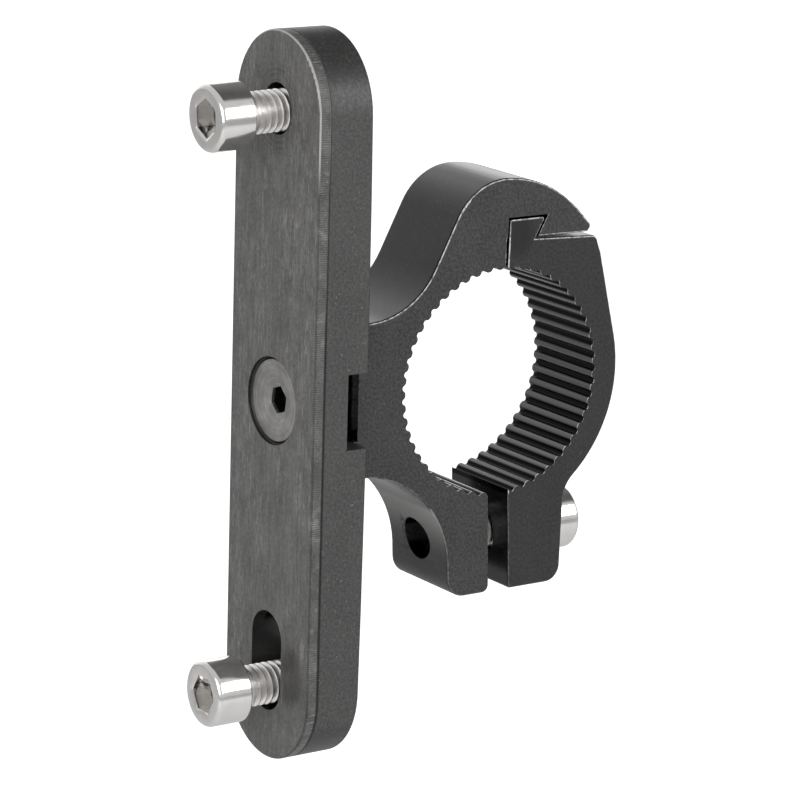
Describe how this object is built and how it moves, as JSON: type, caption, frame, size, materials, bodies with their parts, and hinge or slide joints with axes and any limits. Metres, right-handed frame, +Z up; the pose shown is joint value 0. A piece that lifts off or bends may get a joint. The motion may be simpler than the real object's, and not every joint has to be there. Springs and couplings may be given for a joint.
{
  "type": "bottle cage adapter",
  "caption": "Tube clamp with a serrated split bore and a hooked swing arm, carrying a slim bar with cage screws for mounting a bottle cage on a tube.",
  "frame": {"origin": "on the axis of the clamp bore, half way along the clamp's width", "axes": "+Z up along the bar, +X from the bar's front face through the bore towards the swing arm, +Y along the clamped tube"},
  "size_m": [0.0547, 0.018, 0.0861],
  "materials": {
    "black_anodised": "satin black anodised",
    "plated_screw": "polished nickel plate",
    "steel_nut": "plain steel"
  },
  "bodies": {
    "frame": {"clamp_body": "black_anodised", "front_plate": "black_anodised", "centre_screw": "plated_screw", "centre_nut": "steel_nut", "upper_cage_nut": "steel_nut"},
    "arm": {"clamp_arm": "black_anodised"},
    "clamp_screw": {"clamp_screw": "plated_screw"},
    "upper_screw": {"upper_cage_screw": "plated_screw"},
    "lower_nut": {"lower_cage_nut": "steel_nut"},
    "lower_screw": {"lower_cage_screw": "plated_screw"}
  },
  "joints": [
    {"name": "clamp_screw_travel", "type": "slide", "parent": "frame", "child": "clamp_screw", "axis": [-1, 0, 0], "range_m": [0, 0.00185]},
    {"name": "arm_pivot", "type": "hinge", "parent": "frame", "child": "arm", "pos_m": [0.00455, 0, 0.01693], "axis": [0, 1, 0], "range_deg": [0, 3.24]},
    {"name": "upper_screw_travel", "type": "slide", "parent": "frame", "child": "upper_screw", "axis": [0.9994, 0, 0.0333], "range_m": [-0.0024, 0.00482]},
    {"name": "lower_nut_slide", "type": "slide", "parent": "frame", "child": "lower_nut", "axis": [0, 0, 1], "range_m": [0, 0.0056]},
    {"name": "lower_screw_travel", "type": "slide", "parent": "lower_nut", "child": "lower_screw", "axis": [1, 0, 0], "range_m": [-0.0032, 0.00409]}
  ],
  "couplings": [
    {"joint": "arm_pivot", "follows": "clamp_screw_travel", "rad_per_m": 30.5}
  ]
}
